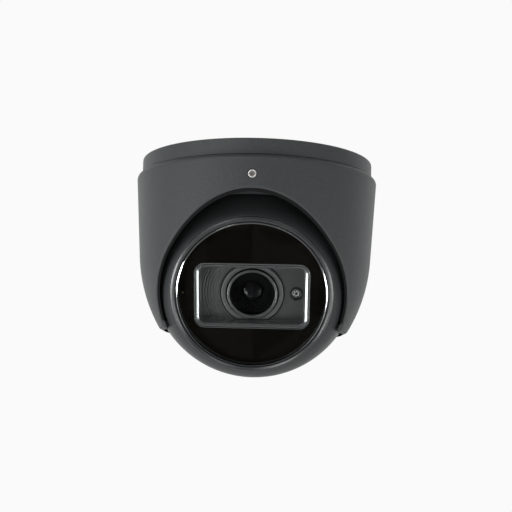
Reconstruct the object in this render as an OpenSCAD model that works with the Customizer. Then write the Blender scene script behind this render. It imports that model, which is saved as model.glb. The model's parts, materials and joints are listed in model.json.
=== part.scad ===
// Turret style ceiling security camera: fixed base, turning cover, tilting and rolling eyeball.
// Origin at the centre of the ceiling mounting face, +Z up, lens facing -Y, millimetres.

/* [Base] */
// Outer radius of the base ring
base_r = 58.5; // [57:0.5:58.5]
// Height of the base ring below the ceiling
base_h = 7.7; // [7:0.1:7.7]
// Thickness of the base plate
plate_t = 3; // [2.5:0.1:3]
// Pitch circle diameter of the ceiling screws
bolt_pcd = 78; // [70:1:80]
// Radius of each ceiling screw hole
bolt_hole_r = 2.25; // [2:0.05:2.75]
// Radius of the cable hole in the base plate
cable_hole_r = 13; // [8:0.5:15]

/* [Cover] */
// Greatest outer radius of the cover
cover_r = 61; // [60.5:0.1:61.5]
// Wall thickness of the cover
cover_wall = 1.5; // [1.5:0.1:2]
// Depth of the cover's bottom lip below the ceiling
cover_depth = 87; // [86:0.5:87]
// Angle of the opening's axis below the horizontal
opening_dip = 34.3; // [33:0.1:36]
// Distance of the opening's flat rim in front of the ball centre
opening_reach = 30.9; // [30.5:0.1:32]

/* [Ball] */
// Outer radius of the ball
ball_r = 52.5; // [52:0.1:52.5]
// Depth of the ball centre below the ceiling
ball_drop = 56.6; // [56.6:0.1:57]
// Wall of the ball housings
ball_wall = 5; // [4:0.5:5]
// Angle of the lens below the horizontal at rest
lens_dip = 25.4; // [10:0.1:40]
// Gap between parts that move past each other
gap = 0.3; // [0.3:0.05:0.4]

/* [Window] */
// Outer radius of the bezel ring
bezel_r = 39.5; // [39:0.1:39.5]
// Radius of the front glass
glass_r = 36.6; // [36:0.1:36.6]
// Width of the clear pane in the mask
pane_w = 56.5; // [54:0.5:57]
// Height of the clear pane in the mask
pane_h = 33.5; // [31:0.5:33.5]
// Corner radius of the clear pane
pane_corner = 5.5; // [4:0.5:6]

/* [Lens] */
// Distance of the lens axis below the middle of the glass
lens_drop = 1.4; // [1:0.1:1.6]
// Radius of the lens nose that shows in the panel
nose_r = 12.3; // [12.2:0.1:12.8]
// Radius of the front lens element
element_r = 10.9; // [10.5:0.1:11]
// Outer radius of the lens barrel body
barrel_r = 15; // [15:0.1:15.5]
// Distance of each drive screw from the lens axis
drive_offset = 17.8; // [17.8:0.1:18]
// Radius of each drive screw
drive_r = 0.8; // [0.6:0.1:0.8]

/* [Electronics] */
// Distance of each infrared emitter from the middle, sideways
led_x = 12.5; // [11:0.5:14]
// Distance of each infrared emitter from the middle, up or down
led_y = 24; // [23:0.5:25]
// Sideways place of the indicator
indicator_x = 33.5; // [31:0.5:33.5]
// Sideways place of the light sensor
sensor_x = 21.5; // [20.5:0.1:21.5]
// Side of the square sensor board
board_side = 34; // [32:1:36]
// Radius of the round main board
main_board_r = 33; // [30:1:35]

/* [Hidden] */
$fn = 96;
eps = 0.01;

// Base and its collar
collar_r = 54.5;
collar_in = 51.5;
collar_bottom = 20;
lip_r = 57.5;
lip_top = 12.4;
lip_bottom = 13.8;
seal_in = 47;
seal_out = 50;
seal_t = 1;
bolt_angles = [90, 210, 330];
lug_span = 20;
notch_span = 26;
notch_turn = 60;

// Beyond every piece, for cutting right through
far = 60;

// Cover
cover_top = base_h + gap;
shoulder = cover_r - base_r;
taper_end = [58.4, 50];
arc_centre = [-20.1, 45];
arc_r = norm(taper_end - arc_centre);
arc_from = asin((taper_end[1] - arc_centre[1]) / arc_r);
arc_to = 31;
arc_steps = 12;
pocket_r = ball_r + 0.5;
hollow_to = cover_depth + 1;
hollow_angle = asin((hollow_to - arc_centre[1]) / (arc_r - cover_wall));
screw_drop = 17.6;
screw_boss_r = 3.4;
screw_mouth = 60.4;
lug_top = 10.4;
lug_bottom = lip_top - gap;
seat_r = 52;
boss_r = 2.8;
boss_bottom = 33;
flange_r = 55.4;
flange_low = 23.7;
flange_top = 20.4;
trunnion_r = 1.5;
trunnion_tip = 55.3;

// Ball housings, along the lens axis from the ball centre
ring_half = 2.4;
split = ring_half + gap;
spigot_r = 50.2;
rear_flat = 44;
cavity_r = ball_r - ball_wall;
rim_z = sqrt(ball_r * ball_r - bezel_r * bezel_r) + 0.1;
bezel_front = rim_z + 0.7;
flange_front = 29.6;
flange_back = 26.6;
flange_in = 35.2;
boss_at = 43.5;
led_screw_at = 37.2;
head_seat = 22;
housing_boss_r = 4.2;
clamp_gap = 0.45;
housing_seal_out = 49.5;
housing_seal_in = 48.3;
housing_seal_t = 1.2;

// Window stack, along the lens axis
glass_back = 31.6;
glass_front = 34.7;
mask_t = 0.3;
shroud_back = flange_back;
shroud_wall = 2.8;

// Lens and boards, along the lens axis
panel_back = 24.2;
panel_front = 26;
trim_r = 15.2;
trim_front = 27;
nose_front = 28.2;
barrel_back = -2;
barrel_in = 13.2;
foot_side = 36;
foot_t = 1.4;
foot_arm = [10, 46];
nose_arm = [6, 40.6];
nose_wall = 1.7;
barrel_port = 8;
sensor_z = -12;
led_board_t = 1.5;
led_board_r = 38.9;
chassis_z = -19;
main_board_z = -26;
standoff_xy = 14;
board_t = 1.6;
board_hole_r = 1.25;
pillar_at = 29;
chip_y = 14;
chip_side = 14;
rod_at = 11.4;
rod_r = 0.6;

coat = [0.29, 0.31, 0.32];
dark_coat = [0.2, 0.21, 0.22];
black = [0.06, 0.06, 0.065];
rubber = [0.1, 0.1, 0.1];
steel = [0.72, 0.72, 0.7];
brass = [0.78, 0.64, 0.32];
board_green = [0.1, 0.32, 0.2];
glass_tint = [0.02, 0.02, 0.03, 0.85];
lens_tint = [0.12, 0.1, 0.2, 0.7];
panel_grey = [0.25, 0.25, 0.26];

// ---- shared shapes ----

// Places children with +Z along the lens axis and +Y up the picture, at the ball centre
module at_eye() {
  translate([0, 0, -ball_drop]) rotate([90 + lens_dip, 0, 0]) children();
}

// The same directions, moved down to the lens axis
module at_lens() {
  at_eye() translate([0, -lens_drop, 0]) children();
}

// Places children with +Z along the axis of the cover's opening, at the ball centre
module at_opening() {
  translate([0, 0, -ball_drop]) rotate([90 + opening_dip, 0, 0]) children();
}

module ball(r) {
  translate([0, 0, -ball_drop]) sphere(r);
}

// A ring between two heights
module ring(r_out, r_in, z_low, z_high) {
  translate([0, 0, z_low]) difference() {
    cylinder(r = r_out, h = z_high - z_low);
    translate([0, 0, -1]) cylinder(r = r_in, h = z_high - z_low + 2);
  }
}

module disc(r, z_low, z_high) {
  translate([0, 0, z_low]) cylinder(r = r, h = z_high - z_low);
}

module round_rect(w, h, r) {
  square([w - 2 * r, h], center = true);
  square([w, h - 2 * r], center = true);
  for (sx = [-1, 1], sy = [-1, 1])
    translate([sx * (w / 2 - r), sy * (h / 2 - r)]) circle(r);
}

module slab(w, h, r, z_low, z_high) {
  translate([0, 0, z_low]) linear_extrude(z_high - z_low) round_rect(w, h, r);
}

// A wedge of a circle about +Z, for cutting arcs
module wedge(r, angle, span, z_low, z_high) {
  translate([0, 0, z_low]) rotate(angle - span / 2)
    rotate_extrude(angle = span) square([r, z_high - z_low]);
}

// Children repeated around a circle
module around(angles, r) {
  for (a = angles) rotate(a) translate([r, 0, 0]) children();
}

// Children in the four corners of a square
module corners(d) {
  for (sx = [-1, 1], sy = [-1, 1]) translate([sx * d, sy * d, 0]) children();
}

// A pan-head screw: head up to z = head_t, shank down from z = 0
module screw(shank_r, length, head_r, head_t) {
  difference() {
    union() {
      disc(shank_r, -length, eps);
      disc(head_r, 0, head_t);
    }
    disc(shank_r * 0.75, head_t * 0.4, head_t + 1, $fn = 6);
  }
}

// ---- base ----

module base_plate() {
  profile = [
    [cable_hole_r, 0], [base_r - 1, 0], [base_r - 0.3, -0.3], [base_r, -1],
    [base_r, -base_h + 0.3], [base_r - 0.3, -base_h],
    [collar_r, -base_h], [collar_r, -lip_top], [lip_r, -lip_top],
    [lip_r, -lip_bottom], [collar_r, -lip_bottom], [collar_r, -collar_bottom],
    [collar_in, -collar_bottom], [collar_in, -plate_t], [cable_hole_r, -plate_t],
  ];
  color(coat) difference() {
    rotate_extrude() polygon(profile);
    ring(seal_out, seal_in, -seal_t, 1);
    around(bolt_angles, bolt_pcd / 2) disc(bolt_hole_r, -plate_t - 1, 1);
    for (a = bolt_angles)
      intersection() {
        wedge(far, a + notch_turn, notch_span, -lip_bottom - 1, -lip_top + 1);
        ring(far, collar_r, -lip_bottom - 1, 0);
      }
  }
}

module base_gasket() {
  color(rubber) ring(seal_out, seal_in, -seal_t, 0);
}

// ---- cover ----

// Radius and height along the cover's lower, swelling side, inset from its outer face
function side_point(a, inset) = [
  arc_centre[0] + (arc_r - inset) * cos(a),
  -arc_centre[1] - (arc_r - inset) * sin(a),
];

function side_points(inset, last) = [
  for (i = [0:arc_steps]) side_point(arc_from + (last - arc_from) * i / arc_steps, inset)
];

module cover_blank() {
  shoulder_points = [
    for (a = [90:-18:0])
      [base_r + shoulder * cos(a), -cover_top - shoulder + shoulder * sin(a)]
  ];
  lip_points = [[46.3, 0.7 - cover_depth], [44.5, -cover_depth], [0, -cover_depth]];
  rotate_extrude()
    polygon(concat([[0, -cover_top]], shoulder_points, side_points(0, arc_to), lip_points));
}

// Everything that is taken away in front of the slanted opening
module opening_cut(extra = 0) {
  at_opening() disc(2 * far, opening_reach - extra, 2 * far);
}

// Space inside the cover, with its bosses and bayonet lugs left standing
module cover_hollow() {
  top_r = cover_r - cover_wall;
  inner = concat(
    [[0, 0], [top_r, 0], [top_r, -cover_top - shoulder]],
    side_points(cover_wall, hollow_angle), [[0, -hollow_to]]
  );
  difference() {
    rotate_extrude() polygon(inner);
    around(bolt_angles, seat_r) {
      disc(boss_r, -boss_bottom, -flange_low);
      translate([0, -1.5, -boss_bottom]) cube([12, 3, boss_bottom - flange_low]);
    }
    for (a = bolt_angles)
      intersection() {
        wedge(62, a, lug_span, -lug_bottom, -lug_top);
        ring(62, collar_r + gap, -lug_bottom, -lug_top);
      }
    translate([0, 0, -screw_drop]) rotate([90, 0, 0]) disc(screw_boss_r, flange_r + 0.2, 70);
    for (side = [-1, 1])
      translate([0, 0, -ball_drop]) rotate([0, 90 * side, 0]) disc(4, 50, far);
  }
}

module cover_shell() {
  color(coat) difference() {
    cover_blank();
    cover_hollow();
    ball(pocket_r);
    opening_cut();
    lip_groove();
    around(bolt_angles, seat_r) disc(1.25, -boss_bottom + 1.5, -flange_low + 1);
    translate([0, 0, -screw_drop]) rotate([90, 0, 0]) disc(2.05, 50, 70);
    for (side = [-1, 1])
      translate([0, 0, -ball_drop]) rotate([0, 90 * side, 0])
        disc(trunnion_r + 0.05, 50, trunnion_tip + gap);
  }
}

// Band around the ball that holds the lip gasket
module lip_groove() {
  intersection() {
    ball(pocket_r + 1.3);
    disc(far, -85.2, -83.2);
  }
}

module lip_gasket() {
  color(rubber) difference() {
    lip_groove();
    ball(ball_r + gap);
    opening_cut(1);
  }
}

module ball_retainer() {
  profile = [
    [34, -flange_low], [flange_r, -flange_low], [flange_r, -flange_top],
    [46.5, -flange_top], [40, -15.5], [34, -15.5],
  ];
  color(coat) difference() {
    rotate_extrude() polygon(profile);
    ball(ball_r + 0.4);
    around(bolt_angles, seat_r) {
      disc(1.4, -flange_low - 1, 0);
      disc(2.6, -flange_top - 1.8, 0);
    }
  }
}

module retainer_screws() {
  color(steel) around(bolt_angles, seat_r)
    translate([0, 0, -flange_top - 1.8]) screw(1.2, 7, 2.4, 1.6);
}

// Socket set screw that clamps the cover to the base collar
module lock_screw() {
  tip = collar_r + 0.4;
  profile = [
    [0, tip], [1.2, tip], [2, tip + 0.8],
    [2, screw_mouth - 0.3], [1.7, screw_mouth], [0, screw_mouth],
  ];
  color(steel) translate([0, 0, -screw_drop]) rotate([90, 0, 0]) difference() {
    rotate_extrude() polygon(profile);
    disc(1.25, screw_mouth - 2.4, screw_mouth + 1, $fn = 6);
  }
}

// ---- stop ring between cover and ball ----

module stop_ring() {
  color(black) at_eye() {
    difference() {
      sphere(ball_r - 0.1);
      disc(spigot_r + gap, -far, far);
      disc(far, ring_half, far);
      disc(far, -far, -ring_half);
    }
    for (side = [-1, 1])
      rotate([0, 90 * side, 0]) disc(trunnion_r, ball_r - 1.4, trunnion_tip);
  }
}

// ---- ball housings ----

module housing_bosses() {
  around([45:90:315], boss_at) children();
}

module ball_front() {
  color(coat) at_eye() difference() {
    union() {
      intersection() {
        sphere(ball_r);
        disc(far, split, far);
      }
      disc(spigot_r, -split, split + 1);
    }
    difference() {
      sphere(cavity_r);
      housing_bosses() disc(housing_boss_r, -far, 10);
      ring(far, flange_in, flange_back, flange_front);
    }
    disc(bezel_r + 0.1, flange_front, far);
    housing_bosses() disc(1.55, -split - 1, 8.5);
    around([0:90:270], led_screw_at) disc(0.95, flange_back - 1, flange_front - 0.6);
  }
}

module ball_rear() {
  color(coat) at_eye() difference() {
    intersection() {
      sphere(ball_r);
      union() {
        difference() {
          disc(far, -rear_flat, -split);
          intersection() {
            sphere(cavity_r);
            disc(far, 3.5 - rear_flat, 0);
          }
        }
        housing_bosses() disc(housing_boss_r, -34, -split);
      }
    }
    ring(housing_seal_out, housing_seal_in, -split - housing_seal_t, 0);
    housing_bosses() {
      disc(1.6, -40, 0);
      disc(3.1, -far, -head_seat);
    }
    disc(5, -far, 0);
  }
}

module housing_gasket() {
  color(rubber) at_eye() ring(housing_seal_out, housing_seal_in, -split - housing_seal_t, -split);
}

module housing_screws() {
  color(steel) at_eye() housing_bosses()
    translate([0, 0, -head_seat]) mirror([0, 0, 1]) screw(1.5, head_seat + 8, 2.75, 3);
}

// ---- window ----

module front_bezel() {
  inner = glass_r + clamp_gap;
  profile = [
    [inner, flange_front], [bezel_r, flange_front], [bezel_r, rim_z],
    [bezel_r - 0.2, rim_z + 0.15], [bezel_r - 1.15, bezel_front], [bezel_r - 1.4, bezel_front],
    [inner + 0.25, rim_z], [inner, rim_z - 0.4],
  ];
  color(dark_coat) at_eye() rotate_extrude($fn = 144) polygon(profile);
}

module window_gasket() {
  color(rubber) at_eye() ring(glass_r + clamp_gap - 0.05, flange_in + 0.3, flange_front, glass_back);
}

module window_glass() {
  profile = [
    [0, glass_back], [glass_r, glass_back], [glass_r, glass_front - 0.3],
    [glass_r - 0.6, glass_front], [0, glass_front],
  ];
  color(glass_tint) at_eye() rotate_extrude($fn = 144) polygon(profile);
}

module window_mask() {
  color(black) at_eye() difference() {
    disc(flange_in, glass_back - mask_t, glass_back);
    translate([0, -lens_drop, 0])
      slab(pane_w, pane_h, pane_corner, glass_back - 1, glass_back + 1);
    translate([-indicator_x, 0, 0]) disc(0.6, glass_back - 1, glass_back + 1);
  }
}

module lens_shroud() {
  color(panel_grey) at_lens() difference() {
    slab(pane_w, pane_h, pane_corner, shroud_back, glass_back - mask_t);
    slab(pane_w - 2 * shroud_wall, pane_h - 2 * shroud_wall + 0.6, 3,
         shroud_back - 1, glass_back);
  }
}

// Panel around the lens, with stepped arcs on the side away from the light sensor
module lens_plate() {
  plate_w = pane_w - 2 * shroud_wall - 0.4;
  plate_h = pane_h - 2 * shroud_wall + 0.2;
  color(panel_grey) at_lens() difference() {
    union() {
      slab(plate_w, plate_h, 2.8, panel_back, panel_front);
      intersection() {
        for (i = [0:4])
          ring(17.6 + 1.7 * i, 16.5 + 1.7 * i, panel_front - eps, panel_front + 0.3);
        translate([-plate_w / 2, -plate_h / 2, 0]) cube([plate_w / 2 - 4, plate_h, 40]);
      }
      translate([sensor_x, 0, 0]) disc(3.1, panel_back, panel_front + 0.8);
    }
    disc(nose_r + 0.3, 0, far);
    translate([sensor_x, 0, 0]) disc(2.5, 0, far);
  }
}

module lens_trim_ring() {
  half = pane_h / 2 - shroud_wall - 0.5;
  inner = nose_r + 0.5;
  color(panel_grey) at_lens() intersection() {
    rotate_extrude() polygon([
      [inner, panel_front], [trim_r, panel_front], [trim_r, trim_front - 0.35],
      [trim_r - 0.35, trim_front], [inner + 0.3, trim_front], [inner, trim_front - 0.3],
    ]);
    translate([-far, -half, 0]) cube([2 * far, 2 * half, far]);
  }
}

// ---- lens ----

// A plate centred on the lens axis
module plate(size, z_low, thick) {
  translate([-size[0] / 2, -size[1] / 2, z_low]) cube([size[0], size[1], thick]);
}

module lens_barrel() {
  nose_back = panel_back - nose_wall;
  color(black) at_lens() difference() {
    union() {
      disc(barrel_r, barrel_back, panel_back);
      ring(nose_r, element_r + 0.1, nose_back, nose_front);
      plate([foot_side, foot_side], barrel_back, foot_t);
      plate(foot_arm, barrel_back, foot_t);
      plate(nose_arm, nose_back, nose_wall);
    }
    disc(barrel_in, barrel_back + foot_t, nose_back);
    disc(barrel_port, barrel_back - 1, 0);
    disc(element_r + 0.1, nose_back - 1, far);
    for (side = [-1, 1]) {
      translate([-1.9, side * 14.5 - 2.5, 0.4]) cube([3.8, 5, nose_back - 0.4]);
      translate([0, side * drive_offset, 0]) disc(drive_r + 0.05, barrel_back - 1, nose_back + 0.9);
      translate([side * rod_at, 0, 0]) disc(rod_r, barrel_back + 0.4, nose_back + 0.8);
    }
    corners(standoff_xy) disc(board_hole_r, barrel_back - 1, 0);
  }
}

module front_element() {
  bend = 24;
  apex = nose_front + 0.2;
  color(lens_tint) at_lens() intersection() {
    disc(element_r, 23.4, far);
    translate([0, 0, apex - bend]) sphere(bend);
  }
}

module guide_rods() {
  color(steel) at_lens() for (side = [-1, 1])
    translate([side * rod_at, 0, 0]) disc(rod_r, barrel_back + 0.4, panel_back - 0.9);
}

// A lens cell that slides on both rods and is driven by one screw
module lens_cell(z_low, thick, side, hole_r) {
  difference() {
    union() {
      disc(12.8, z_low, z_low + thick);
      translate([-1.5, side > 0 ? 11 : -drive_offset, z_low + 0.5])
        cube([3, drive_offset - 11, 3]);
      translate([0, side * drive_offset, 0]) disc(2, z_low + 0.5, z_low + 3.5);
    }
    translate([0, 0, z_low + thick + hole_r * 2.6]) sphere(hole_r * 2.8);
    for (s = [-1, 1]) translate([s * rod_at, 0, 0]) disc(rod_r + 0.04, -20, far);
    translate([0, side * drive_offset, 0]) disc(drive_r + 0.04, -20, far);
  }
}

module zoom_group() {
  color(lens_tint) at_lens() lens_cell(12, 5, 1, 8);
}

module focus_group() {
  color(lens_tint) at_lens() lens_cell(1, 4, -1, 6);
}

module drive_screw(side) {
  translate([0, side * drive_offset, 0]) {
    disc(drive_r, barrel_back - 0.5, panel_back - 0.9);
    disc(1.4, -0.3, 0.3);
  }
}

module zoom_drive_screw() {
  color(brass) at_lens() drive_screw(1);
}

module focus_drive_screw() {
  color(brass) at_lens() drive_screw(-1);
}

module stepper(side) {
  translate([0, side * drive_offset, 0]) difference() {
    union() {
      disc(4, barrel_back - 7.5, barrel_back);
      translate([-2.5, side > 0 ? 2 : -5, barrel_back - 7]) cube([5, 3, 4]);
    }
    disc(drive_r + 0.05, barrel_back - 0.8, barrel_back + 1);
  }
}

module zoom_motor() {
  color(steel) at_lens() stepper(1);
}

module focus_motor() {
  color(steel) at_lens() stepper(-1);
}

// Holder between the lens and the image sensor, with a slot for the infrared-cut filter
module lens_mount() {
  color(black) at_lens() difference() {
    plate([22, 22], sensor_z - 1.2, barrel_back - sensor_z + 1.2);
    disc(barrel_port, sensor_z + 1, 0);
    plate([14, 11], sensor_z - 2, 3.5);
    translate([-8.5, -6.5, -7.9]) cube([30, 13, 2.2]);
  }
}

module ir_cut_filter() {
  color([0.5, 0.75, 0.8, 0.6]) at_lens() translate([-8, -6, -7.4]) cube([15, 12, 1.2]);
}

module filter_solenoid() {
  color(brass) at_lens() translate([11.3, -5, sensor_z - 1.2]) cube([5, 10, 4.8]);
}

// ---- electronics ----

module image_sensor() {
  color(black) at_lens() difference() {
    plate([11, 9], sensor_z - 1.2, 1.4);
    plate([6.4, 4.8], sensor_z, 1);
  }
}

module sensor_board() {
  color(board_green) at_lens() difference() {
    slab(board_side, board_side, 1.5, sensor_z - 2.8, sensor_z - 1.2);
    corners(standoff_xy) disc(board_hole_r, sensor_z - 4, 0);
  }
}

module sensor_screws() {
  color(steel) at_lens() corners(standoff_xy) {
    translate([0, 0, sensor_z - 2.8]) mirror([0, 0, 1])
      screw(1.2, barrel_back - sensor_z + 3.4, 2, 1.4);
    ring(2.2, 1.2, sensor_z - 1.2, barrel_back);
  }
}

// Aluminium bulkhead that carries the lens block and spreads its heat into the ball
module chassis_plate() {
  color(steel) at_eye() difference() {
    union() {
      disc(42.3, chassis_z - 2, chassis_z);
      translate([0, -lens_drop, 0]) corners(standoff_xy) disc(2.6, chassis_z, sensor_z - 4.4);
    }
    translate([0, -lens_drop, 0]) slab(16, 12, 2, chassis_z - 3, chassis_z + 1);
    housing_bosses() disc(4.5, -far, 0);
  }
}

module main_board() {
  color(board_green) at_eye() difference() {
    disc(main_board_r, main_board_z, main_board_z + board_t);
    around([0:90:270], pillar_at) disc(board_hole_r, main_board_z - 1, main_board_z + 2);
  }
}

module board_pillars() {
  color(brass) at_eye() around([0:90:270], pillar_at) {
    disc(2.4, main_board_z + board_t, chassis_z - 2);
    disc(board_hole_r - 0.05, main_board_z, main_board_z + board_t);
    disc(2.4, main_board_z - board_t, main_board_z);
  }
}

module processor() {
  color(black) at_eye() translate([0, chip_y, 0])
    slab(chip_side, chip_side, 0.5, main_board_z + board_t, main_board_z + 2 * board_t);
}

module thermal_pad() {
  color([0.5, 0.6, 0.7]) at_eye() translate([0, chip_y, 0])
    slab(chip_side, chip_side, 0.5, main_board_z + 2 * board_t, chassis_z - 2);
}

// Flat flexible cable from the sensor board through the bulkhead to the main board
module flex_cable() {
  thick = 0.3;
  low = main_board_z + board_t;
  high = sensor_z - 2.8;
  color([0.75, 0.45, 0.15]) at_lens() {
    translate([-6, -11.5, high - thick]) cube([12, 6, thick]);
    translate([-6, -5.8, chassis_z - 0.2]) cube([12, thick, high - chassis_z + 0.2]);
    translate([-6, -5.8, chassis_z - 2.6]) cube([12, thick, 2.6]);
    translate([-6, -11.5, low]) cube([12, 3.6, thick]);
    translate([-6, -8.2, low]) cube([12, thick, chassis_z - 2.3 - low]);
    translate([-6, -8.2, chassis_z - 2.6]) cube([12, 2.7, thick]);
  }
}

module led_board() {
  color(board_green) at_eye() difference() {
    disc(led_board_r, flange_back - led_board_t, flange_back);
    translate([0, -lens_drop, 0])
      slab(pane_w - 2 * shroud_wall, pane_h - 2 * shroud_wall + 0.6, 3, 0, far);
    around([0:90:270], led_screw_at) disc(0.95, 0, far);
  }
}

module led_screws() {
  color(steel) at_eye() around([0:90:270], led_screw_at)
    translate([0, 0, flange_back - led_board_t]) mirror([0, 0, 1]) screw(0.9, 3.8, 1.5, 1);
}

module led_places() {
  for (sx = [-1, 1], sy = [-1, 1]) translate([sx * led_x, sy * led_y, 0]) children();
}

module ir_leds() {
  color([0.9, 0.85, 0.6]) at_eye() led_places() {
    slab(3.5, 3.5, 0.3, flange_back, flange_back + 1.2);
    translate([0, 0, flange_back + 1.2 - eps]) intersection() {
      disc(1.3, 0, 2);
      sphere(1.3);
    }
  }
}

module ir_lenses() {
  color([0.85, 0.9, 0.95, 0.6]) at_eye() led_places() difference() {
    disc(4.5, flange_back, flange_back + 4);
    slab(3.8, 3.8, 0.3, 0, flange_back + 1.5);
    disc(1.9, 0, flange_back + 2.7);
  }
}

module light_sensor() {
  color([0.85, 0.88, 0.9, 0.7]) at_lens() translate([sensor_x, 0, 0]) {
    disc(2.45, panel_back, panel_front + 0.4);
    translate([0, 0, panel_front + 0.4 - eps]) intersection() {
      disc(2.4, 0, 2);
      translate([0, 0, -2.4]) sphere(3.4);
    }
  }
}

module indicator_led() {
  color([0.9, 0.9, 0.85]) at_eye() translate([-indicator_x, 0, 0]) {
    slab(2, 2, 0.2, flange_back, flange_back + 1);
    disc(0.9, flange_back + 1 - eps, flange_back + 4);
  }
}

module cable_gland() {
  color(black) at_eye() difference() {
    union() {
      disc(4.9, -rear_flat - 1, -37.6);
      disc(8, -rear_flat - 2.5, -rear_flat);
      disc(6, -rear_flat - 6.5, -rear_flat - 2.4);
    }
    disc(3.2, -far, -30);
  }
}

module gland_nut() {
  color(black) at_eye() difference() {
    disc(8, 3.5 - rear_flat, 6 - rear_flat, $fn = 6);
    disc(4.95, -50, -30);
  }
}

base_plate();
base_gasket();
cover_shell();
lip_gasket();
ball_retainer();
retainer_screws();
lock_screw();
stop_ring();
ball_front();
ball_rear();
housing_gasket();
housing_screws();
front_bezel();
window_gasket();
window_glass();
window_mask();
lens_shroud();
lens_plate();
lens_trim_ring();
lens_barrel();
front_element();
guide_rods();
zoom_group();
focus_group();
zoom_drive_screw();
focus_drive_screw();
zoom_motor();
focus_motor();
lens_mount();
ir_cut_filter();
filter_solenoid();
image_sensor();
sensor_board();
sensor_screws();
chassis_plate();
main_board();
board_pillars();
processor();
thermal_pad();
flex_cable();
led_board();
led_screws();
ir_leds();
ir_lenses();
light_sensor();
indicator_led();
cable_gland();
gland_nut();
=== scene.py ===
"""Looks for a ceiling-mounted turret camera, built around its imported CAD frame."""

import json
import math

import bpy
import numpy as np
from mathutils import Matrix, Vector


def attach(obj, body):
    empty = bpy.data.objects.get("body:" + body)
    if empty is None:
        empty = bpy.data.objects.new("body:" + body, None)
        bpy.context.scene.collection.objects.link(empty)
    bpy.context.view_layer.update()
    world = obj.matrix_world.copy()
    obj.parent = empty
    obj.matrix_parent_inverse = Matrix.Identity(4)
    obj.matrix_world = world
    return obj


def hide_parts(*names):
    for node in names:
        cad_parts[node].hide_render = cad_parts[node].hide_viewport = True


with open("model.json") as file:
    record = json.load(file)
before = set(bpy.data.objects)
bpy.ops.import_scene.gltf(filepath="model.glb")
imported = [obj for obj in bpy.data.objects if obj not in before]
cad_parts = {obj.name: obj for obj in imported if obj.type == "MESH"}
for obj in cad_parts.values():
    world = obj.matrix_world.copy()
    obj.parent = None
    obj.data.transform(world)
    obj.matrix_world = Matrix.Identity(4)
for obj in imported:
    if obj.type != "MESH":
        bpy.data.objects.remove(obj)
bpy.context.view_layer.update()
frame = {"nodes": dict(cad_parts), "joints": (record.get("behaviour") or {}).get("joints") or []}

MM = 0.001
NODES = frame["nodes"]
JOINTS = {joint["name"]: joint for joint in frame["joints"]}

# ---- the frames that pieces are drawn in, all in millimetres ----

BASE_MM = Matrix.Scale(MM, 4)

# The eye's frame has its origin at the ball's centre and its third axis along the lens
BALL = Vector(JOINTS["lens_tilt"]["pos_m"])
LENS_AXIS = Vector(JOINTS["lens_roll"]["axis"]).normalized()
RIGHT = Vector((1, 0, 0))
LENS_UP = LENS_AXIS.cross(RIGHT)
EYE = Matrix.Translation(BALL) @ Matrix((RIGHT, LENS_UP, LENS_AXIS)).transposed().to_4x4()
EYE_MM = EYE @ Matrix.Scale(MM, 4)


def extent(node, space):
    """Lowest and highest corner of a CAD node in one of the frames, in its millimetres."""
    points = np.array([space.inverted() @ v.co for v in NODES[node].data.vertices])
    return Vector(points.min(0)), Vector(points.max(0))


def shifted(space, x, y):
    """A frame moved by some of its own millimetres."""
    return space @ Matrix.Translation((x, y, 0))


# The lens's frame is the eye's, moved so that its third axis runs through the lens
ELEMENT_LOW, ELEMENT_HIGH = extent("front_element", EYE_MM)
LENS_MM = shifted(EYE_MM, 0, (ELEMENT_LOW.y + ELEMENT_HIGH.y) / 2)

# The set screw's frame has its third axis pointing out of the cover, towards -Y
SCREW_LOW, SCREW_HIGH = extent("lock_screw", BASE_MM)
SCREW_Z = (SCREW_LOW.z + SCREW_HIGH.z) / 2
SCREW_MM = Matrix.Translation((0, 0, SCREW_Z * MM)) @ Matrix.Rotation(math.radians(90), 4, "X")
SCREW_MM = SCREW_MM @ Matrix.Scale(MM, 4)

# ---- sizes read from the CAD ----

COVER_LOW, COVER_HIGH = extent("cover_shell", BASE_MM)
COVER_R = COVER_HIGH.x
BASE_LOW, BASE_HIGH = extent("base_plate", BASE_MM)
BASE_R = BASE_HIGH.x
BALL_Z = BALL.z / MM
BALL_R = extent("ball_front", EYE_MM)[1].x
BEZEL_R = extent("front_bezel", EYE_MM)[1].x
BEZEL_BACK, BEZEL_FRONT = (corner.z for corner in extent("front_bezel", EYE_MM))
GLASS_R = extent("window_glass", EYE_MM)[1].x
GLASS_BACK, GLASS_FRONT = (corner.z for corner in extent("window_glass", EYE_MM))
SHROUD_LOW, SHROUD_HIGH = extent("lens_shroud", LENS_MM)
PLATE_LOW, PLATE_HIGH = extent("lens_plate", LENS_MM)
BARREL_LOW, BARREL_HIGH = extent("lens_barrel", LENS_MM)
ELEMENT_R = ELEMENT_HIGH.x
ELEMENT_FRONT = ELEMENT_HIGH.z
SENSOR_MM = shifted(LENS_MM, sum(corner.x for corner in extent("light_sensor", LENS_MM)) / 2, 0)

# ---- sizes chosen for the shapes, in millimetres, and the opening's slope ----

BASE_GAP = 0.3
COVER_WALL = 1.5
OPENING_DIP = math.radians(34.3)
OPENING_REACH = 30.9
OUTER_ROUND = 0.5
INNER_ROUND = 0.3
TRUNNION_R = 1.5
PANE_CORNER = 5.5
PANEL_Z = 26.0
RING_R = 15.2
RING_HALF = 13.4
NOSE_R = 12.3

# ---- outlines ----


def arc(centre, radius, start, end, steps):
    """Points along an arc, with its angles in degrees."""
    angles = [math.radians(start + (end - start) * i / steps) for i in range(steps + 1)]
    return [(centre[0] + radius * math.cos(a), centre[1] + radius * math.sin(a)) for a in angles]


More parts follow.
